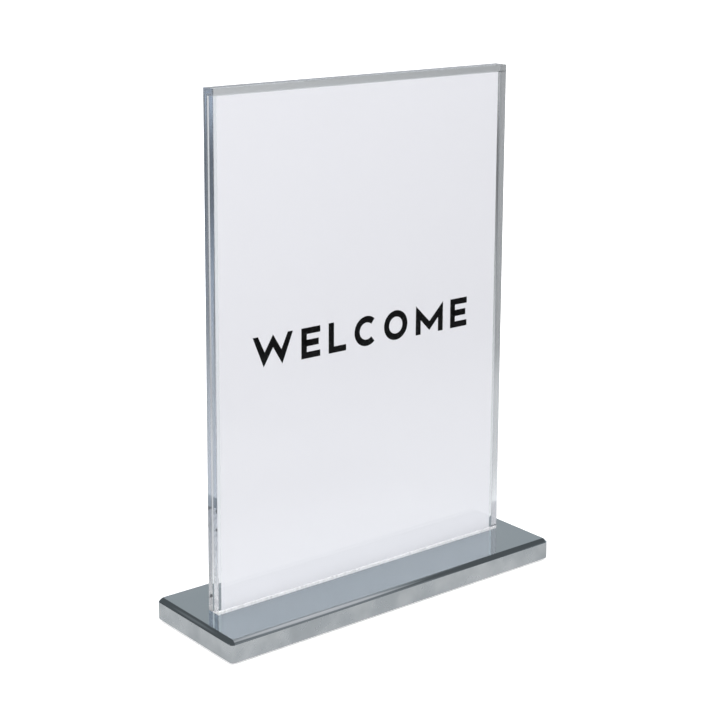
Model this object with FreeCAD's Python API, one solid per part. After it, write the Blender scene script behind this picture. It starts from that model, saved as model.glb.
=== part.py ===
import FreeCAD, Part
import os

# A countertop sign stand: a clear acrylic pocket, holding an A5 printed card, stands in a heavy
# steel bar. The card slides out of the pocket's open left end.
# Millimetres. Origin at the centre of the resting face, +X to the reader's right,
# +Y away from the reader, +Z up.

os.makedirs("parts", exist_ok=True)

# Card
card_width = 148.0
card_height = 210.0
card_thickness = 0.35
card_play = 0.2            # free space between the card's edge and each spacer

# Acrylic pocket
sheet_thickness = 3.0
pocket_gap = 1.0
side_border = 3.0          # clear border left and right of the card
top_spacer_height = 3.0
bottom_spacer_proud = 0.3  # how far the strip under the card stands above the base
polish_chamfer = 0.2       # broken outer edges of the sheets

# Steel base
base_length = 174.0
base_depth = 54.5
base_thickness = 9.5
base_chamfer = 1.8
base_corner_radius = 1.9    # a little over the chamfer, so the chamfer runs round the corners
base_lower_radius = 0.8
slot_depth = 5.0

# Pad under the base
pad_thickness = 0.8
pad_inset = 2.0
pad_corner_radius = 3.0

# Countersunk M3 screws, put in from below
screw_places = (-50.0, 50.0)
screw_radius = 1.5
screw_length = 8.0
screw_head_radius = 2.8
screw_recess = 0.15        # how far the head lies inside the base's lower face
screw_clearance_radius = 1.7
screw_tip_room = 0.2       # tapped depth past the screw's end
hex_socket_flats = 2.0
hex_socket_depth = 0.9

# Levels and lengths that follow
base_bottom = pad_thickness
base_top = base_bottom + base_thickness
slot_floor = base_top - slot_depth
card_bottom = base_top + bottom_spacer_proud + card_play
card_top = card_bottom + card_height
panel_width = card_width + 2 * side_border
panel_top = card_top + card_play + top_spacer_height
panel_thickness = 2 * sheet_thickness + pocket_gap
half_gap = pocket_gap / 2
half_panel = panel_width / 2
screw_bottom = base_bottom + screw_recess
screw_top = screw_bottom + screw_length

UP = FreeCAD.Vector(0, 0, 1)


def block(x0, x1, y0, y1, z0, z1):
    """A box between two corners."""
    return Part.makeBox(x1 - x0, y1 - y0, z1 - z0, FreeCAD.Vector(x0, y0, z0))


def save(shape, node):
    """Write one sub-part as a STEP file."""
    shape.exportStep(os.path.join("parts", node + ".step"))


def edges_where(shape, test):
    """The shape's edges whose two ends both pass a test."""
    return [edge for edge in shape.Edges if all(test(v.Point) for v in edge.Vertexes)]


def near(a, b):
    """True for two equal lengths."""
    return abs(a - b) < 1e-6


def rises(edge):
    """True for an edge whose ends are at different heights."""
    return not near(edge.BoundBox.ZMin, edge.BoundBox.ZMax)


def tapped_holes():
    """The threaded holes in the pocket's lower edge, at the thread's outer radius."""
    depth = screw_top + screw_tip_room - slot_floor
    holes = [
        Part.makeCylinder(screw_radius, depth, FreeCAD.Vector(x, 0, slot_floor), UP)
        for x in screw_places
    ]
    return Part.makeCompound(holes)


def base_plate():
    """The steel bar: chamfered above, softly rounded at its corners and below, slotted."""
    bar = block(-base_length / 2, base_length / 2, -base_depth / 2, base_depth / 2,
                base_bottom, base_top)
    bar = bar.makeFillet(base_corner_radius, [edge for edge in bar.Edges if rises(edge)])
    bar = bar.makeChamfer(base_chamfer, edges_where(bar, lambda p: near(p.z, base_top)))
    bar = bar.makeFillet(base_lower_radius,
                         edges_where(bar, lambda p: near(p.z, base_bottom)))
    slot = block(-half_panel, half_panel, -panel_thickness / 2, panel_thickness / 2,
                 slot_floor, base_top)
    bar = bar.cut(slot)
    mouth_radius = screw_head_radius + screw_recess
    sink_depth = mouth_radius - screw_clearance_radius
    for x in screw_places:
        foot = FreeCAD.Vector(x, 0, base_bottom)
        sink = Part.makeCone(mouth_radius, screw_clearance_radius, sink_depth, foot, UP)
        shaft = Part.makeCylinder(screw_clearance_radius, slot_floor - base_bottom, foot, UP)
        bar = bar.cut(sink.fuse(shaft))
    return bar


def sheet(inner_y, outer_y):
    """One acrylic sheet, from the slot's floor to the top, with its outer edges broken."""
    plate = block(-half_panel, half_panel, min(inner_y, outer_y), max(inner_y, outer_y),
                  slot_floor, panel_top)
    outer_edges = [
        edge for edge in edges_where(plate, lambda p: near(p.y, outer_y))
        if edge.BoundBox.ZMax > base_top
    ]
    plate = plate.makeChamfer(polish_chamfer, outer_edges)
    return plate.cut(tapped_holes())


def top_spacer():
    """The strip that closes the pocket above."""
    return block(-half_panel, half_panel, -half_gap, half_gap,
                 panel_top - top_spacer_height, panel_top)


def side_spacer():
    """The strip that closes the pocket's right-hand end, where the card stops."""
    return block(half_panel - side_border + card_play, half_panel, -half_gap, half_gap,
                 base_top + bottom_spacer_proud, panel_top - top_spacer_height)


def bottom_spacer():
    """The strip in the slot that the card stands on."""
    strip = block(-half_panel, half_panel, -half_gap, half_gap,
                  slot_floor, base_top + bottom_spacer_proud)
    return strip.cut(tapped_holes())


def sign_insert():
    """The printed card."""
    return block(-card_width / 2, card_width / 2, -card_thickness / 2, card_thickness / 2,
                 card_bottom, card_top)


def screw(x):
    """One countersunk screw with a hexagon socket, thread drawn at its outer radius."""
    foot = FreeCAD.Vector(x, 0, screw_bottom)
    head = Part.makeCone(screw_head_radius, screw_radius, screw_head_radius - screw_radius,
                         foot, UP)
    shank = Part.makeCylinder(screw_radius, screw_length, foot, UP)
    body = head.fuse(shank)
    corner_radius = hex_socket_flats / 3 ** 0.5
    start = FreeCAD.Vector(corner_radius, 0, 0)
    turns = [FreeCAD.Rotation(UP, 60 * i) for i in range(7)]
    outline = Part.makePolygon([foot + turn.multVec(start) for turn in turns])
    socket = Part.Face(outline).extrude(UP * hex_socket_depth)
    return body.cut(socket)


def fixing_screws():
    """The screws that pull the pocket down into the slot."""
    return Part.makeCompound([screw(x) for x in screw_places])


def base_pad():
    """The thin soft pad stuck under the base."""
    half_x = base_length / 2 - pad_inset
    half_y = base_depth / 2 - pad_inset
    pad = block(-half_x, half_x, -half_y, half_y, 0, pad_thickness)
    return pad.makeFillet(pad_corner_radius, [edge for edge in pad.Edges if rises(edge)])


save(base_plate(), "base_plate")
save(sheet(-half_gap, -half_gap - sheet_thickness), "front_panel")
save(sheet(half_gap, half_gap + sheet_thickness), "back_panel")
save(top_spacer(), "top_spacer")
save(side_spacer(), "side_spacer")
save(bottom_spacer(), "bottom_spacer")
save(sign_insert(), "sign_insert")
save(fixing_screws(), "fixing_screws")
save(base_pad(), "base_pad")
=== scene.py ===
import math

import bmesh
import bpy
from mathutils import Matrix, Vector


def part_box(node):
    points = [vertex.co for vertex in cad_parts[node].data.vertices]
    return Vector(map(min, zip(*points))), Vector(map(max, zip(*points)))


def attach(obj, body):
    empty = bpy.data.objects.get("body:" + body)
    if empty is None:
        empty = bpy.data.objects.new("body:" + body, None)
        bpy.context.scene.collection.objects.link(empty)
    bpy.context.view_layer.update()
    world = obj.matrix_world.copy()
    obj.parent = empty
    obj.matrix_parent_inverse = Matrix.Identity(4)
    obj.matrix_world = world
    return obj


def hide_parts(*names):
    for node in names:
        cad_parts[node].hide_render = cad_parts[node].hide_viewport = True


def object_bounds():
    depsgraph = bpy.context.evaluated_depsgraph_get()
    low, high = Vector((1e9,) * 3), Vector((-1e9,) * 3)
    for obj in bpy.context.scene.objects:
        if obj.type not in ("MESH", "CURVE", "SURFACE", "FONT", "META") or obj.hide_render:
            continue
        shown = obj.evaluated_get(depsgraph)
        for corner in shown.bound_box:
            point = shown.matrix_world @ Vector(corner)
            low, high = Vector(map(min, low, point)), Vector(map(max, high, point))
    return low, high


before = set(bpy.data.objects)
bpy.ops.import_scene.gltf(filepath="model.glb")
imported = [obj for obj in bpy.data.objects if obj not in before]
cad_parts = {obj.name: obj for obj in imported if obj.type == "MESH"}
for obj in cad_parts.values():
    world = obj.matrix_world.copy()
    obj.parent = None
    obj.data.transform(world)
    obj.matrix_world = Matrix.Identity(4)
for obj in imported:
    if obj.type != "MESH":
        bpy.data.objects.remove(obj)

cad_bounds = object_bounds()

# ---------------------------------------------------------------- sizes, all in metres

MM = 0.001

base_low, base_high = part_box("base_plate")
front_low, front_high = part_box("front_panel")
back_low, back_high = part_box("back_panel")
top_low, top_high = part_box("top_spacer")
side_low, side_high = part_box("side_spacer")
strip_low, strip_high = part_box("bottom_spacer")
card_low, card_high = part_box("sign_insert")
screws_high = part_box("fixing_screws")[1]
stand_middle = (cad_bounds[0] + cad_bounds[1]) / 2

# Steel bar
base_thickness = base_high.z - base_low.z
base_corner = 1.9 * MM          # radius of the bar's upright corners
smallest_corner = 0.05 * MM     # what the corner's radius shrinks to inside the chamfer
base_chamfer = 1.8 * MM
chamfer_slope = math.radians(45)
chamfer_bow = math.radians(16)  # how far the chamfer's slope turns from its foot to its top
base_lower_round = 0.8 * MM

# Acrylic
arris = 0.2 * MM                # rounded outer edges of the sheets
bond_overlap = 0.01 * MM        # how far a bonded strip reaches into each sheet
cement_fillet = 0.18 * MM       # radius of the cement along a strip's card side

# Slot and screw holes
slot_floor = front_low.z
slot_air = 0.04 * MM            # air between the slot and the acrylic in it
screw_radius = 1.5 * MM
screw_head_radius = 2.8 * MM
screw_offset = screws_high.x - screw_head_radius
screw_places = (-screw_offset, screw_offset)
screw_sink_radius = 2.95 * MM
screw_shaft_radius = 1.7 * MM
tapped_top = screws_high.z + 0.2 * MM

# Card and print
card_edge_round = 0.06 * MM
ink_back_gap = 0.004 * MM       # from the card's face to the back of the ink
ink_front_gap = 0.02 * MM       # from the card's face to the front of the ink
word_width_share = 0.78         # of the card's width
cap_height_share = 0.062        # of the card's height

# How finely round things are cut
lower_round_steps = 5
chamfer_steps = 10
corner_steps = 6
circle_steps = 40
groove_steps = 12
fillet_steps = 5
arris_steps = 3
card_edge_steps = 2

weld_distance = 1e-8
hair = 0.01 * MM                # tells one level or edge from another
sharp_angle = math.radians(35)  # a steeper bend than this keeps its edge


# ---------------------------------------------------------------- node helpers

def new_material(name):
    """A material with an empty node tree and its output node."""
    material = bpy.data.materials.new(name)
    material.use_nodes = True
    material.node_tree.nodes.clear()
    output = material.node_tree.nodes.new("ShaderNodeOutputMaterial")
    return material, material.node_tree, output


def node(tree, kind, **inputs):
    """A new node. Inputs are set by name, with _ for a space; a value may be a socket to link."""
    made = tree.nodes.new(kind)
    for key, value in inputs.items():
        set_input(tree, made.inputs[key.replace("_", " ")], value)
    return made


def set_input(tree, socket, value):
    """Link a socket, or set its value."""
    if isinstance(value, bpy.types.NodeSocket):
        tree.links.new(value, socket)
    else:
        socket.default_value = value


def maths(tree, operation, a, b=0.0):
    """A maths node's result."""
    made = tree.nodes.new("ShaderNodeMath")
    made.operation = operation
    set_input(tree, made.inputs[0], a)
    set_input(tree, made.inputs[1], b)
    return made.outputs[0]


def blended(tree, factor, a, b):
    """Two colours mixed by a factor."""
    made = tree.nodes.new("ShaderNodeMix")
    made.data_type = "RGBA"
    set_input(tree, made.inputs["Factor"], factor)
    set_input(tree, made.inputs[6], a)
    set_input(tree, made.inputs[7], b)
    return made.outputs[2]


def mixed(tree, share, a, b):
    """Two numbers mixed: a where the share is 0, b where it is 1."""
    made = tree.nodes.new("ShaderNodeMix")
    for socket, value in zip((made.inputs[0], made.inputs[2], made.inputs[3]), (share, a, b)):
        set_input(tree, socket, value)
    return made.outputs[0]


def spread(tree, value, low, high, to_low, to_high):
    """A value moved from one range to another, smoothly, and held at its ends."""
    made = tree.nodes.new("ShaderNodeMapRange")
    made.interpolation_type = "SMOOTHSTEP"
    settings = zip(("Value", "From Min", "From Max", "To Min", "To Max"),
                   (value, low, high, to_low, to_high))
    for name, setting in settings:
        set_input(tree, made.inputs[name], setting)
    return made.outputs["Result"]


def object_noise(tree, scale, detail, stretch=(1, 1, 1)):
    """Noise fixed to the object, scale in waves per metre."""
    place = tree.nodes.new("ShaderNodeTexCoord")
    mapping = node(tree, "ShaderNodeMapping", Vector=place.outputs["Object"], Scale=stretch)
    noise = node(tree, "ShaderNodeTexNoise", Vector=mapping.outputs[0], Scale=scale,
                 Detail=detail)
    return noise.outputs["Fac"]


def bumped(tree, height, distance):
    """A normal from a height."""
    return node(tree, "ShaderNodeBump", Height=height, Distance=distance).outputs[0]


def glowing(tree, colour, strength):
    """A plain emission shader's output."""
    return node(tree, "ShaderNodeEmission", Color=colour, Strength=strength).outputs[0]


def either(tree, factor, a, b):
    """Shader a where factor is 0, b where it is 1."""
    mix = node(tree, "ShaderNodeMixShader", Fac=factor)
    tree.links.new(a, mix.inputs[1])
    tree.links.new(b, mix.inputs[2])
    return mix.outputs[0]


# ---------------------------------------------------------------- materials

acrylic_ior = 1.49


def polished_steel():
    """The bar's mirror-bright top and chamfers, cool grey with a faint waviness."""
    material, tree, output = new_material("polished_steel")
    cloud = object_noise(tree, 45.0, 3.0)
    colour = blended(tree, cloud, (0.354, 0.411, 0.445, 1), (0.391, 0.439, 0.468, 1))
    roughness = spread(tree, object_noise(tree, 160.0, 4.0), 0.3, 0.7, 0.035, 0.06)
    wave = bumped(tree, object_noise(tree, 18.0, 1.0), 0.02 * MM)
    shader = node(tree, "ShaderNodeBsdfPrincipled", Base_Color=colour, Metallic=1.0,
                  Roughness=roughness, Normal=wave)
    tree.links.new(shader.outputs[0], output.inputs[0])
    return material


def satin_steel():
    """The bar's sides: the same steel, less finely polished, so it clouds what it mirrors."""
    material, tree, output = new_material("satin_steel")
    cloud = object_noise(tree, 60.0, 3.0)
    patch = spread(tree, cloud, 0.35, 0.68, 0.0, 1.0)
    colour = blended(tree, patch, (0.37, 0.39, 0.405, 1), (0.48, 0.495, 0.505, 1))
    roughness = spread(tree, object_noise(tree, 110.0, 4.0), 0.3, 0.7, 0.22, 0.42)
    dimples = bumped(tree, object_noise(tree, 140.0, 2.0), 0.06 * MM)
    shader = node(tree, "ShaderNodeBsdfPrincipled", Base_Color=colour, Metallic=1.0,
                  Roughness=roughness, Normal=dimples)
    tree.links.new(shader.outputs[0], output.inputs[0])
    return material


def clear_acrylic(name, tint, grain):
    """Cast acrylic. Light that falls on the card passes straight through, so it stays soft."""
    material, tree, output = new_material(name)
    haze = spread(tree, object_noise(tree, grain, 3.0), 0.45, 0.8, 0.0, 0.02)
    glass = node(tree, "ShaderNodeBsdfGlass", Color=tint, Roughness=haze, IOR=acrylic_ior)
    open_way = node(tree, "ShaderNodeBsdfTransparent", Color=(0.985, 0.988, 0.99, 1))
    path = tree.nodes.new("ShaderNodeLightPath")
    soft = maths(tree, "MAXIMUM", path.outputs["Is Shadow Ray"], path.outputs["Is Diffuse Ray"])
    tree.links.new(either(tree, soft, glass.outputs[0], open_way.outputs[0]), output.inputs[0])
    return material


def frosted_acrylic():
    """Sawn acrylic: cloudy white, uneven from the saw and the cement, with a faint painted glow.
    """
    material, tree, output = new_material("frosted_acrylic")
    saw = object_noise(tree, 300.0, 5.0, (3.0, 1.0, 1.0))
    colour = blended(tree, saw, (0.62, 0.63, 0.65, 1), (0.95, 0.95, 0.96, 1))
    roughness = spread(tree, saw, 0.3, 0.7, 0.45, 0.7)
    # A faint painted glow, uneven along the saw marks, stands in for the light that a real strip
    # catches along its length.
    caught_light = spread(tree, saw, 0.3, 0.7, 0.08, 0.22)
    shader = node(tree, "ShaderNodeBsdfPrincipled", Base_Color=colour, Roughness=roughness,
                  IOR=acrylic_ior, Normal=bumped(tree, saw, 0.03 * MM),
                  Emission_Color=(0.97, 0.98, 1, 1), Emission_Strength=caught_light)
    tree.links.new(shader.outputs[0], output.inputs[0])
    return material


def white_card():
    """Coated white card with a very faint grain."""
    material, tree, output = new_material("white_card")
    grain = object_noise(tree, 900.0, 4.0)
    colour = blended(tree, grain, (0.86, 0.857, 0.895, 1), (0.89, 0.887, 0.925, 1))
    roughness = spread(tree, grain, 0.2, 0.8, 0.45, 0.6)
    shader = node(tree, "ShaderNodeBsdfPrincipled", Base_Color=colour, Roughness=roughness,
                  Normal=bumped(tree, grain, 0.004 * MM))
    tree.links.new(shader.outputs[0], output.inputs[0])
    return material


def black_ink():
    """Printed black, a little uneven in density."""
    material, tree, output = new_material("black_ink")
    density = object_noise(tree, 700.0, 3.0)
    colour = blended(tree, density, (0.001, 0.001, 0.0012, 1), (0.004, 0.004, 0.0045, 1))
    shader = node(tree, "ShaderNodeBsdfPrincipled", Base_Color=colour, Roughness=0.6,
                  Specular_IOR_Level=0.1)
    tree.links.new(shader.outputs[0], output.inputs[0])
    return material


def screw_steel():
    """Plain steel for the screws."""
    material, tree, output = new_material("screw_steel")
    grain = object_noise(tree, 1500.0, 3.0)
    colour = blended(tree, grain, (0.30, 0.30, 0.31, 1), (0.42, 0.42, 0.43, 1))
    roughness = spread(tree, grain, 0.2, 0.8, 0.25, 0.4)
    shader = node(tree, "ShaderNodeBsdfPrincipled", Base_Color=colour, Metallic=1.0,
                  Roughness=roughness)
    tree.links.new(shader.outputs[0], output.inputs[0])
    return material


def soft_pad():
    """Black foam rubber with a fine open grain."""
    material, tree, output = new_material("soft_pad")
    grain = object_noise(tree, 2500.0, 3.0)
    colour = blended(tree, grain, (0.008, 0.008, 0.009, 1), (0.02, 0.02, 0.022, 1))
    shader = node(tree, "ShaderNodeBsdfPrincipled", Base_Color=colour, Roughness=0.85,
                  Normal=bumped(tree, grain, 0.05 * MM))
    tree.links.new(shader.outputs[0], output.inputs[0])
    return material


# ---------------------------------------------------------------- mesh helpers

def finish_piece(name, bm, body, stands_for, materials, smooth=False):
    """Turns a bmesh into a piece that rides on a CAD body, in place of a CAD node if named."""
    bmesh.ops.remove_doubles(bm, verts=bm.verts, dist=weld_distance)
    bmesh.ops.recalc_face_normals(bm, faces=bm.faces)
    mesh = bpy.data.meshes.new(name)
    bm.to_mesh(mesh)
    bm.free()
    if smooth:
        mesh.shade_smooth()
        mesh.set_sharp_from_angle(angle=sharp_angle)
    for material in materials:
        mesh.materials.append(material)
    piece = bpy.data.objects.new(name, mesh)
    bpy.context.scene.collection.objects.link(piece)
    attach(piece, body)
    if stands_for:
        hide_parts(stands_for)


def ring(bm, points):
    """Vertices for a closed loop of points."""
    return [bm.verts.new(point) for point in points]


def wall(bm, lower, upper):
    """Faces between two loops of the same length."""
    count = len(lower)
    return [
        bm.faces.new((lower[i], lower[(i + 1) % count], upper[(i + 1) % count], upper[i]))
        for i in range(count)
    ]


def loop_edges(bm, loop):
    """The edges along a closed loop of vertices, made where missing."""
    edges = []
    for i, vertex in enumerate(loop):
        following = loop[(i + 1) % len(loop)]
        edges.append(bm.edges.get((vertex, following)) or bm.edges.new((vertex, following)))
    return edges


def fill(bm, *loops):
    """A flat cap bounded by an outer loop and any loops inside it."""
    edges = [edge for loop in loops for edge in loop_edges(bm, loop)]
    made = bmesh.ops.triangle_fill(bm, use_beauty=True, use_dissolve=False, edges=edges)
    return [item for item in made["geom"] if isinstance(item, bmesh.types.BMFace)]


def circle(x, y, z, radius):
    """Points round a level circle."""
    turns = [2 * math.pi * i / circle_steps for i in range(circle_steps)]
    return [Vector((x + radius * math.cos(t), y + radius * math.sin(t), z)) for t in turns]


def rounded_rectangle(half_x, half_y, radius, z):
    """Points round a level rectangle with rounded corners, centred on the origin."""
    points = []
    corners = ((1, 1, 0), (-1, 1, 90), (-1, -1, 180), (1, -1, 270))
    for sign_x, sign_y, start in corners:
        for i in range(corner_steps + 1):
            turn = math.radians(start + 90 * i / corner_steps)
            points.append(Vector((
                sign_x * (half_x - radius) + radius * math.cos(turn),
                sign_y * (half_y - radius) + radius * math.sin(turn),
                z,
            )))
    return points


# ---------------------------------------------------------------- steel bar

def base_profile():
    """(inset, height) of the bar's outline from its lower face up to its top face."""
    profile = []
    for i in range(lower_round_steps + 1):
        turn = math.pi / 2 * i / lower_round_steps
        profile.append((
            base_lower_round * (1 - math.sin(turn)),
            base_lower_round * (1 - math.cos(turn)),
        ))
    # The chamfer swells a little, so its upper half mirrors more of the sky than its lower half.
    low_corner = Vector((0.0, base_thickness - base_chamfer))
    high_corner = Vector((base_chamfer, base_thickness))
    chord = high_corner - low_corner
    bow = chord.length / (2 * math.sin(chamfer_bow / 2))
    middle = (low_corner + high_corner) / 2
    centre = middle + Vector((chord.y, -chord.x)).normalized() * bow * math.cos(chamfer_bow / 2)
    for i in range(chamfer_steps + 1):
        turn = chamfer_slope + chamfer_bow * (i / chamfer_steps - 0.5)
        profile.append(tuple(centre + Vector((-math.cos(turn), math.sin(turn))) * bow))
    return profile


def slot_ring(bm, z):
    """The slot's outline at one height."""
    x = front_high.x + slot_air
    y = back_high.y + slot_air
    return ring(bm, [
        Vector((-x, -y, z)), Vector((x, -y, z)), Vector((x, y, z)), Vector((-x, y, z)),
    ])


def make_base(polished, satin):
    """The slotted bar with its countersunk holes."""
    bm = bmesh.new()
    half_x = (base_high.x - base_low.x) / 2
    half_y = (base_high.y - base_low.y) / 2
    loops = []
    for inset, height in base_profile():
        radius = max(base_corner - inset, smallest_corner)
        outline = rounded_rectangle(half_x - inset, half_y - inset, radius,
                                    base_low.z + height)
        loops.append(ring(bm, outline))
    bright = []
    for lower, upper in zip(loops, loops[1:]):
        faces = wall(bm, lower, upper)
        if lower[0].co.z > base_high.z - base_chamfer - hair:
            bright += faces

    mouth = slot_ring(bm, base_high.z)
    floor = slot_ring(bm, slot_floor - slot_air)
    wall(bm, mouth, floor)
    bright += fill(bm, loops[-1], mouth)

    feet, heads = [], []
    sink_top = base_low.z + screw_sink_radius - screw_shaft_radius
    for x in screw_places:
        foot = ring(bm, circle(x, 0, base_low.z, screw_sink_radius))
        neck = ring(bm, circle(x, 0, sink_top, screw_shaft_radius))
        head = ring(bm, circle(x, 0, slot_floor - slot_air, screw_shaft_radius))
        wall(bm, foot, neck)
        wall(bm, neck, head)
        feet.append(foot)
        heads.append(head)
    fill(bm, floor, *heads)
    fill(bm, loops[0], *feet)

    for face in bm.faces:
        face.material_index = 1
    for face in bright:
        face.material_index = 0
    finish_piece("base_plate_body", bm, "stand", "base_plate",
                 [polished, satin], smooth=True)


# ---------------------------------------------------------------- acrylic pocket

def groove_arc(x, y, side):
    """The screw's groove in a face at depth y, going along +X; side is the way it bites."""
    half = math.sqrt(screw_radius ** 2 - y ** 2)
    start = math.atan2(y, -half)
    end = math.atan2(y, half)
    if side > 0:
        start, end = math.pi - end, end
    sweep = end - start
    return [
        (x + screw_radius * math.cos(start + sweep * i / groove_steps),
         screw_radius * math.sin(start + sweep * i / groove_steps))
        for i in range(groove_steps + 1)
    ]


def grooved_slab(bm, x_low, x_high, y_inner, y_outer, z_low, z_high):
    """A slab with a groove for each screw in its inner face, from its lower edge up."""
    side = 1 if y_outer > y_inner else -1
    inner = [(x_low, y_inner)]
    grooves = []
    for x in screw_places:
        arc = groove_arc(x, y_inner, side)
        grooves.append((len(inner), len(arc)))
        inner += arc
    inner.append((x_high, y_inner))
    outline = inner + [(x_high, y_outer), (x_low, y_outer)]
    low = ring(bm, [Vector((x, y, z_low)) for x, y in outline])
    middle = ring(bm, [Vector((x, y, tapped_top)) for x, y in outline])
    wall(bm, low, middle)
    fill(bm, low)
    kept = set(range(len(middle)))
    for first, length in grooves:
        bm.faces.new(middle[first:first + length])
        kept -= set(range(first + 1, first + length - 1))
    upper_start = [middle[i] for i in sorted(kept)]
    top = ring(bm, [Vector((v.co.x, v.co.y, z_high)) for v in upper_start])
    wall(bm, upper_start, top)
    fill(bm, top)


def make_sheet(name, low, high, y_inner, y_outer, clear, frosted):
    """One acrylic sheet, its outer edges softened where they can be touched and its lower edge
    left as sawn."""
    bm = bmesh.new()
    grooved_slab(bm, low.x, high.x, y_inner, y_outer, low.z, high.z)

    def softened(edge):
        a, b = (vertex.co for vertex in edge.verts)
        on_outer = abs(a.y - y_outer) < hair and abs(b.y - y_outer) < hair
        on_top = abs(a.z - high.z) < hair and abs(b.z - high.z) < hair
        upright = abs(a.x - b.x) < hair and abs(a.z - b.z) > hair
        at_end = min(abs(a.x - low.x), abs(a.x - high.x)) < hair
        return on_outer and (on_top or (upright and at_end))

    edges = [edge for edge in bm.edges if softened(edge) and len(edge.link_faces) == 2]
    bmesh.ops.bevel(bm, geom=edges, offset=arris, segments=arris_steps, profile=0.5,
                    affect="EDGES", clamp_overlap=True)
    for face in bm.faces:
        face.material_index = int(face.calc_center_median().z < low.z + hair)
    finish_piece(name + "_sheet", bm, "stand", name, [clear, frosted])


def strip_section(low, high):
    """The card-side edge of a bonded strip: (rise towards the card, y). The strip reaches a hair
    into both sheets, and the cement makes a small hollow fillet against each of them."""
    y_low, y_high = low.y - bond_overlap, high.y + bond_overlap
    turns = [math.pi / 2 * i / fillet_steps for i in range(fillet_steps + 1)]
    hollow = [
        (cement_fillet * (1 - math.sin(turn)), cement_fillet * (1 - math.cos(turn)))
        for turn in turns
    ]
    section = [(rise, y_low + run) for rise, run in hollow]
    section += [(rise, y_high - run) for rise, run in reversed(hollow)]
    return section, y_low, y_high


def make_strip(name, ends, material):
    """A bonded strip, drawn out between the outlines of its two ends."""
    bm = bmesh.new()
    loops = [ring(bm, end) for end in ends]
    wall(bm, *loops)
    for loop in loops:
        fill(bm, loop)
    finish_piece(name + "_strip", bm, "stand", name, [material])


def make_top_spacer(material):
    """The closing strip along the top."""
    section, y_low, y_high = strip_section(top_low, top_high)
    outline = [(y, top_low.z - rise) for rise, y in section]
    outline += [(y_high, top_high.z), (y_low, top_high.z)]
    ends = [[Vector((x, y, z)) for y, z in outline] for x in (top_low.x, top_high.x)]
    make_strip("top_spacer", ends, material)


def make_side_spacer(material):
    """The closing strip at the right-hand end, where the card stops."""
    section, y_low, y_high = strip_section(side_low, side_high)
    outline = [(side_low.x - rise, y) for rise, y in section]
    outline += [(side_high.x, y_high), (side_high.x, y_low)]
    ends = [[Vector((x, y, z)) for x, y in outline] for z in (side_low.z, side_high.z)]
    make_strip("side_spacer", ends, material)


def make_bottom_spacer(material):
    """The strip the card stands on, cut away where the screws come up."""
    outline = [(strip_low.x, strip_low.z)]
    for x in screw_places:
        outline += [(x - screw_radius, strip_low.z), (x - screw_radius, tapped_top)]
        outline += [(x + screw_radius, tapped_top), (x + screw_radius, strip_low.z)]
    outline += [(strip_high.x, strip_low.z), (strip_high.x, strip_high.z)]
    outline += [(strip_low.x, strip_high.z)]
    y_low, y_high = strip_low.y - bond_overlap, strip_high.y + bond_overlap
    ends = [[Vector((x, y, z)) for x, z in outline] for y in (y_low, y_high)]
    make_strip("bottom_spacer", ends, material)


# ---------------------------------------------------------------- card and its print

def make_card(material):
    """The card, with its cut edges barely rounded."""
    bm = bmesh.new()
    rows = [
        ring(bm, [
            Vector((card_low.x, y, card_low.z)), Vector((card_high.x, y, card_low.z)),
            Vector((card_high.x, y, card_high.z)), Vector((card_low.x, y, card_high.z)),
        ])
        for y in (card_low.y, card_high.y)
    ]
    wall(bm, *rows)
    for row in rows:
        bm.faces.new(row)
    bmesh.ops.bevel(bm, geom=list(bm.edges), offset=card_edge_round, segments=card_edge_steps,
                    profile=0.5, affect="EDGES")
    finish_piece("sign_card", bm, "card", "sign_insert", [material])


# Each letter: its width, then the centre lines of its strokes, in shares of the cap height.
# The round letters C and O are arcs, so they have no lines.
letter_strokes = {
    "W": (1.52, [[(0.09, 1.04), (0.42, 0.23), (0.76, 0.80), (1.10, 0.23), (1.43, 1.04)]]),
    "E": (0.74, [[(0.74, 0.90), (0.10, 0.90), (0.10, 0.10), (0.74, 0.10)],
                 [(0.12, 0.50), (0.68, 0.50)]]),
    "L": (0.70, [[(0.10, 1), (0.10, 0.10), (0.70, 0.10)]]),
    "C": (0.86, []),
    "O": (1.06, []),
    "M": (1.18, [[(0.10, 0), (0.10, 0.755), (0.59, 0.25), (1.08, 0.755), (1.08, 0)]]),
}
stroke_width = 0.215
sharpest_mitre = 0.3            # keeps the tip of a sharp corner from running away
mouth_of_c = 48                 # half the opening of the C, in degrees
round_steps = 48


def arc_points(centre, radius, start, end):
    """Points along an arc at half the cap height, angles in degrees."""
    return [
        (centre + radius * math.cos(math.radians(start + (end - start) * i / round_steps)),
         0.5 + radius * math.sin(math.radians(start + (end - start) * i / round_steps)))
        for i in range(round_steps + 1)
    ]


def ribbon(points, closed=False):
    """The two sides of a mitred ribbon along a line of points."""
    half = stroke_width / 2
    line = [Vector(point) for point in points]
    left, right = [], []
    for i, point in enumerate(line):
        before = line[i - 1] if i or closed else None
        after = line[(i + 1) % len(line)] if i + 1 < len(line) or closed else None
        ways = []
        if before is not None:
            ways.append((point - before).normalized())
        if after is not None:
            ways.append((after - point).normalized())
        normals = [Vector((-way.y, way.x)) for way in ways]
        mean = sum(normals, Vector((0, 0))).normalized()
        reach = half / max(mean.dot(normals[0]), sharpest_mitre)
        left.append(point + mean * reach)
        right.append(point - mean * reach)
    return left, right


def letter_ribbons(letter):
    """Each stroke of a letter as a ribbon, with True for a closed one."""
    width, lines = letter_strokes[letter]
    radius = 0.5 - stroke_width / 2
    if letter == "O":
        return [(*ribbon(arc_points(width / 2, radius, 0, 360)[:-1], True), True)]
    if letter == "C":
        return [(*ribbon(arc_points(0.5, radius, mouth_of_c, 360 - mouth_of_c)), False)]
    return [(*ribbon(line), False) for line in lines]


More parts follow.
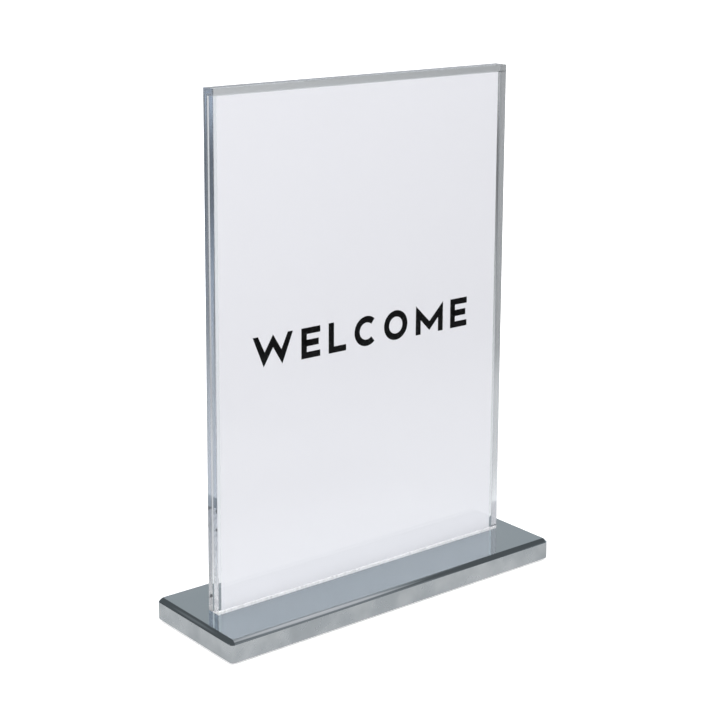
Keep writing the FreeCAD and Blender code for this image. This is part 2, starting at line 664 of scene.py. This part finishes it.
def lay_ink(bm, left, right, closed, to_card):
    """One stroke as a thin layer of ink. to_card turns a letter's point and a gap in front of
    the card into a place."""
    def lay(side, gap):
        return [bm.verts.new(to_card(point, gap)) for point in side]

    bands = [lay(left, ink_front_gap), lay(right, ink_front_gap),
             lay(right, ink_back_gap), lay(left, ink_back_gap)]
    count = len(left)
    for i in range(count if closed else count - 1):
        j = (i + 1) % count
        for a, b in zip(bands, bands[1:] + bands[:1]):
            bm.faces.new((a[i], a[j], b[j], b[i]))
    if not closed:
        bm.faces.new([band[0] for band in bands])
        bm.faces.new([band[-1] for band in bands])


def make_print(word, material):
    """A plain placeholder word in simple stroke letters, laid as ink on the card's face."""
    text_width = word_width_share * (card_high.x - card_low.x)
    cap_height = cap_height_share * (card_high.z - card_low.z)
    baseline = (card_low.z + card_high.z) / 2 - cap_height / 2
    letter_widths = sum(letter_strokes[letter][0] for letter in word) * cap_height
    space = (text_width - letter_widths) / (len(word) - 1)
    pen = (card_low.x + card_high.x) / 2 - text_width / 2

    def to_card(point, gap):
        height = min(max(point.y, 0), 1)
        return (pen + point.x * cap_height, card_low.y - gap, baseline + height * cap_height)

    bm = bmesh.new()
    for letter in word:
        for left, right, closed in letter_ribbons(letter):
            lay_ink(bm, left, right, closed, to_card)
        pen += letter_strokes[letter][0] * cap_height + space
    finish_piece("printed_word", bm, "card", None, [material])


# ---------------------------------------------------------------- stage

WHITE = (1, 1, 1, 1)

# Brightness of the floor, as mirrored and refracted rays find it. Each row is a smooth step:
# from this place, to that place, brightness before it, brightness after it. Places are metres
# along Y unless a comment says otherwise. Left and right are the two sides of the stand.
left_in_front = (-0.1, 0.1, 0.07, 0.92)
left_behind = (0.0, 0.3, 0.92, 0.47)
table_in_front = (-0.14, -0.06, 0.5, 0.97)
table_behind = (0.03, 0.09, 0.97, 0.65)
table_share = (0.18, 0.3, 1.0, 0.0)         # by distance from the stand
right_in_front = (-0.35, -0.05, 0.03, 0.8)
right_in_front_inside = (-0.35, -0.1, 0.42, 0.85)
right_behind = (0.12, 0.75, 0.85, 0.22)
far_light = (0.9, 1.4, 0.0, 0.45)
far_light_fade = (0.9, 1.6, 1.0, 0.72)      # along X
right_through_gap = (0.3, 0.7, 0.5, 0.75)
right_share = (0.08, 0.14, 0.0, 1.0)        # along X
blue_share = (0.1, 0.5, 0.0, 1.0)

floor_glass_tint = (0.96, 0.985, 1.0, 1)
floor_glass_tint_inside = (0.88, 0.995, 1.14, 1)
floor_ambient = 0.7
shadow_fade = (0.15, 0.5, 0.5, 1.0)         # own light of the plain floor, by distance
ran_inside_mirrorings = 4.0                 # more than this, and the ray ran along in a sheet
floor_radius = 6.0
floor_drop = 0.02 * MM                      # how far the floor lies under the stand

pale_ground = (0.93, 0.965, 1.0, 1)         # what shows straight through both sheets
pale_ground_level = 0.9
faces_of_both_sheets = 4.0
faces_of_one_sheet = 2.0


def mirrorings(tree, path):
    """How often a ray has been mirrored, outside or inside the acrylic."""
    return maths(tree, "SUBTRACT", path.outputs["Ray Depth"], path.outputs["Transmission Depth"])


def seen_through(tree, path, faces):
    """1 for what the camera sees straight through a number of acrylic faces."""
    off = maths(tree, "SUBTRACT", path.outputs["Transmission Depth"], faces)
    return maths(tree, "MULTIPLY", maths(tree, "LESS_THAN", mirrorings(tree, path), 0.5),
                 maths(tree, "LESS_THAN", maths(tree, "ABSOLUTE", off), 0.5))


def shown_by(tree, plain, mirrored, ambient):
    """Which shader a ray finds: the plain one for the camera, the mirrored studio for shiny and
    clear things, the ambient light for matt things, pale ground straight through the sheets."""
    path = tree.nodes.new("ShaderNodeLightPath")
    lights = maths(tree, "GREATER_THAN", path.outputs["Diffuse Depth"], 0.5)
    unseen = either(tree, lights, mirrored, ambient)
    pale = glowing(tree, pale_ground, pale_ground_level)
    unseen = either(tree, seen_through(tree, path, faces_of_both_sheets), unseen, pale)
    return either(tree, path.outputs["Is Camera Ray"], unseen, plain)


def plain_floor(tree, away):
    """Pale and matt, with its own light added away from the stand, so that only a soft contact
    shadow is left."""
    shade = object_noise(tree, 3.0, 2.0)
    colour = blended(tree, shade, (0.78, 0.785, 0.79, 1), (0.80, 0.805, 0.81, 1))
    matt = node(tree, "ShaderNodeBsdfDiffuse", Color=colour).outputs[0]
    lift = glowing(tree, WHITE, spread(tree, away, *shadow_fade))
    lifted = tree.nodes.new("ShaderNodeAddShader")
    tree.links.new(matt, lifted.inputs[0])
    tree.links.new(lift, lifted.inputs[1])
    return lifted.outputs[0]


def mirrored_floor(tree, x, y, away):
    """A pale table that falls away to a dim room, darker on the viewer's side."""
    left_level = maths(tree, "MINIMUM", spread(tree, y, *left_in_front),
                       spread(tree, y, *left_behind))
    table_level = maths(tree, "MINIMUM", spread(tree, y, *table_in_front),
                        spread(tree, y, *table_behind))
    left_level = mixed(tree, spread(tree, away, *table_share), left_level, table_level)

    path = tree.nodes.new("ShaderNodeLightPath")
    ran_inside = maths(tree, "GREATER_THAN", mirrorings(tree, path), ran_inside_mirrorings)
    front_level = mixed(tree, ran_inside, spread(tree, y, *right_in_front),
                        spread(tree, y, *right_in_front_inside))
    right_level = maths(tree, "MINIMUM", front_level, spread(tree, y, *right_behind))
    far_rise = maths(tree, "MULTIPLY", spread(tree, y, *far_light),
                     spread(tree, x, *far_light_fade))
    right_level = maths(tree, "ADD", right_level, far_rise)
    right_level = mixed(tree, seen_through(tree, path, faces_of_one_sheet), right_level,
                        spread(tree, y, *right_through_gap))

    level = mixed(tree, spread(tree, x, *right_share), left_level, right_level)
    blue = maths(tree, "MULTIPLY", ran_inside, spread(tree, y, *blue_share))
    return glowing(tree, blended(tree, blue, floor_glass_tint, floor_glass_tint_inside), level)


def make_floor():
    """A plain pale floor that the camera sees as white, and mirrors and glass as a studio's."""
    material, tree, output = new_material("floor_white")
    place = node(tree, "ShaderNodeSeparateXYZ",
                 Vector=tree.nodes.new("ShaderNodeNewGeometry").outputs["Position"])
    x, y = place.outputs["X"], place.outputs["Y"]
    away = maths(tree, "SQRT", maths(tree, "ADD", maths(tree, "MULTIPLY", x, x),
                                     maths(tree, "MULTIPLY", y, y)))
    shader = shown_by(tree, plain_floor(tree, away), mirrored_floor(tree, x, y, away),
                      glowing(tree, WHITE, floor_ambient))
    tree.links.new(shader, output.inputs[0])
    bm = bmesh.new()
    bmesh.ops.create_circle(bm, cap_ends=True, segments=96, radius=floor_radius)
    mesh = bpy.data.meshes.new("floor")
    bm.to_mesh(mesh)
    bm.free()
    mesh.materials.append(material)
    floor = bpy.data.objects.new("floor", mesh)
    floor.location.z = cad_bounds[0].z - floor_drop
    bpy.context.scene.collection.objects.link(floor)


def pointing(azimuth, elevation):
    """The direction out of the stand at an azimuth (0 is towards the reader, 90 is +X)."""
    a, e = math.radians(azimuth), math.radians(elevation)
    return Vector((math.sin(a) * math.cos(e), -math.cos(a) * math.cos(e), math.sin(e)))


# Soft bright patches that mirrors see: azimuth, elevation, full and faded radius, brightness.
sky_patches = (
    (51.5, 49, 3, 8, 0.9),
    (36, 34, 8, 16, 0.27),
    (72, 60, 8, 15, 0.5),
    (-151, 29, 1, 5, 0.13),
    (-127, 20, 6, 14, 1.3),
    (33, 22, 6, 14, 0.3),
)

# The dark flag in the band round the horizon: azimuth, elevation, full and faded radius.
sky_flag = (-152, 29, 14, 21)

sky_band = (0.44, 0.56, 0.46, 0.0)      # brightness up to and above this sine of the elevation
sky_level = 0.185                       # what is left outside the band
sky_through_glass = 1.5                 # how much brighter the sky is to refracted rays
patches_through_glass = 0.3             # how much of the patches refracted rays see
sky_tint = (0.95, 0.98, 1.0, 1)
patch_tint = (1.08, 0.98, 0.97, 1)
sky_ambient = 0.42
thrown_up_light = 3.1                   # light that the bar throws up onto matt things
thrown_up_tint = (1, 0.92, 0.88, 1)


def sky_disc(tree, way, azimuth, elevation, full, faded, outside, inside):
    """A soft-edged disc in the sky."""
    toward = tree.nodes.new("ShaderNodeVectorMath")
    toward.operation = "DOT_PRODUCT"
    tree.links.new(way, toward.inputs[0])
    toward.inputs[1].default_value = pointing(azimuth, elevation)
    return spread(tree, toward.outputs["Value"], math.cos(math.radians(faded)),
                  math.cos(math.radians(full)), outside, inside)


def make_world():
    """White to the camera. To mirrors and glass, a grey band round the horizon that darkens
    overhead, with a few soft bright patches."""
    world = bpy.data.worlds.new("studio")
    bpy.context.scene.world = world
    world.use_nodes = True
    tree = world.node_tree
    tree.nodes.clear()
    output = tree.nodes.new("ShaderNodeOutputWorld")
    way = tree.nodes.new("ShaderNodeTexCoord").outputs["Generated"]
    height = node(tree, "ShaderNodeSeparateXYZ", Vector=way).outputs["Z"]
    path = tree.nodes.new("ShaderNodeLightPath")
    refracted = path.outputs["Is Transmission Ray"]

    level = maths(tree, "MULTIPLY", spread(tree, height, *sky_band),
                  sky_disc(tree, way, *sky_flag, 1, 0))
    level = maths(tree, "ADD", level, sky_level)
    level = maths(tree, "MULTIPLY", level, mixed(tree, refracted, 1.0, sky_through_glass))
    patches = 0.0
    for azimuth, elevation, full, faded, brightness in sky_patches:
        patch = sky_disc(tree, way, azimuth, elevation, full, faded, 0, brightness)
        patches = maths(tree, "ADD", patches, patch)
    patches = maths(tree, "MULTIPLY", patches,
                    mixed(tree, refracted, 1.0, patches_through_glass))
    tint = blended(tree, maths(tree, "MINIMUM", patches, 1.0), sky_tint, patch_tint)
    mirrored = glowing(tree, tint, maths(tree, "ADD", level, patches))

    # Matt things also take the light that the bar throws up, warmed by the pale card.
    thrown_up = path.outputs["Is Glossy Ray"]
    ambient = glowing(tree, blended(tree, thrown_up, WHITE, thrown_up_tint),
                      mixed(tree, thrown_up, sky_ambient, thrown_up_light))
    plain = glowing(tree, WHITE, 1.0)
    tree.links.new(shown_by(tree, plain, mirrored, ambient), output.inputs[0])


# ---------------------------------------------------------------- light and camera

# Square lamps aimed at the middle of the stand: name, azimuth, elevation, distance, size, watts.
lamps = (
    ("key", -50, 42, 1.6, 1.1, 20.0),
    ("fill", 35, 38, 1.8, 1.2, 9.7),
    ("back", 160, 45, 1.8, 1.2, 13.0),
)

camera_azimuth = -38.877
camera_elevation = 10.678
camera_roll = 0.3224
camera_place = (-0.43388, -0.53573, 0.29952)
camera_lens = 84.262            # millimetres
camera_sensor = 36.0            # millimetres
camera_shift = -0.21464         # share of the picture; the view is the lower part of a taller one
shift_reach = 0.05              # metres from its place at which the camera's shift is gone
nearest_seen = 0.01
farthest_seen = 50.0

bounces = 64
straight_passes = 32


def soft_box(name, azimuth, elevation, distance, size, power):
    """A square lamp. Mirrors and glass don't show it."""
    data = bpy.data.lights.new(name, "AREA")
    data.shape = "SQUARE"
    data.size = size
    data.energy = power
    lamp = bpy.data.objects.new(name, data)
    away = pointing(azimuth, elevation)
    lamp.location = stand_middle + away * distance
    lamp.rotation_mode = "QUATERNION"
    lamp.rotation_quaternion = away.to_track_quat("Z", "Y")
    lamp.visible_glossy = False
    lamp.visible_transmission = False
    bpy.context.scene.collection.objects.link(lamp)


def make_camera():
    """The camera: in front, to the left and a little above, with a long lens."""
    back = pointing(camera_azimuth, camera_elevation)
    azimuth = math.radians(camera_azimuth)
    right = Vector((math.cos(azimuth), math.sin(azimuth), 0))
    up = back.cross(right)
    roll = math.radians(camera_roll)
    rolled_right = right * math.cos(roll) + up * math.sin(roll)
    rolled_up = up * math.cos(roll) - right * math.sin(roll)
    data = bpy.data.cameras.new("camera")
    data.sensor_width = camera_sensor
    data.lens = camera_lens
    data.clip_start = nearest_seen
    data.clip_end = farthest_seen
    camera = bpy.data.objects.new("camera", data)
    turn = Matrix((rolled_right, rolled_up, back)).transposed().to_4x4()
    camera.matrix_world = Matrix.Translation(camera_place) @ turn
    bpy.context.scene.collection.objects.link(camera)
    bpy.context.scene.camera = camera
    shift_lens(camera)


def shift_lens(camera):
    """A lens shift that fades away once the camera leaves its place. It keeps uprights upright
    here, and leaves the stand in the middle of any other view."""
    place = bpy.data.objects.new("camera_place", None)
    place.location = camera.location
    bpy.context.scene.collection.objects.link(place)
    curve = camera.data.driver_add("shift_y")
    curve.driver.type = "AVERAGE"
    moved = curve.driver.variables.new()
    moved.type = "LOC_DIFF"
    moved.targets[0].id = camera
    moved.targets[1].id = place
    while curve.modifiers:
        curve.modifiers.remove(curve.modifiers[0])
    for distance, shift in ((0.0, camera_shift), (shift_reach, 0.0)):
        curve.keyframe_points.insert(distance, shift).interpolation = "LINEAR"


def set_light_paths():
    """Enough bounces for light to run along inside the acrylic sheets, and plain colours."""
    scene = bpy.context.scene
    scene.view_settings.view_transform = "Standard"
    scene.view_settings.look = "None"
    scene.cycles.max_bounces = bounces
    scene.cycles.glossy_bounces = bounces
    scene.cycles.transmission_bounces = bounces
    scene.cycles.transparent_max_bounces = straight_passes
    scene.cycles.use_denoising = True


# ---------------------------------------------------------------- the stand

make_base(polished_steel(), satin_steel())
sheet_acrylic = clear_acrylic("clear_acrylic", (0.984, 0.986, 0.989, 1), 60.0)
strip_acrylic = clear_acrylic("strip_acrylic", (0.985, 0.987, 0.99, 1), 240.0)
sawn_acrylic = frosted_acrylic()
make_sheet("front_panel", front_low, front_high, front_high.y, front_low.y, sheet_acrylic,
           sawn_acrylic)
make_sheet("back_panel", back_low, back_high, back_low.y, back_high.y, sheet_acrylic,
           sawn_acrylic)
make_top_spacer(strip_acrylic)
make_side_spacer(strip_acrylic)
make_bottom_spacer(sawn_acrylic)
make_card(white_card())
make_print("WELCOME", black_ink())

for name, material in (("fixing_screws", screw_steel()), ("base_pad", soft_pad())):
    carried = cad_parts[name]
    carried.data.materials.clear()
    carried.data.materials.append(material)

make_floor()
make_world()
for lamp_settings in lamps:
    soft_box(*lamp_settings)
make_camera()
set_light_paths()
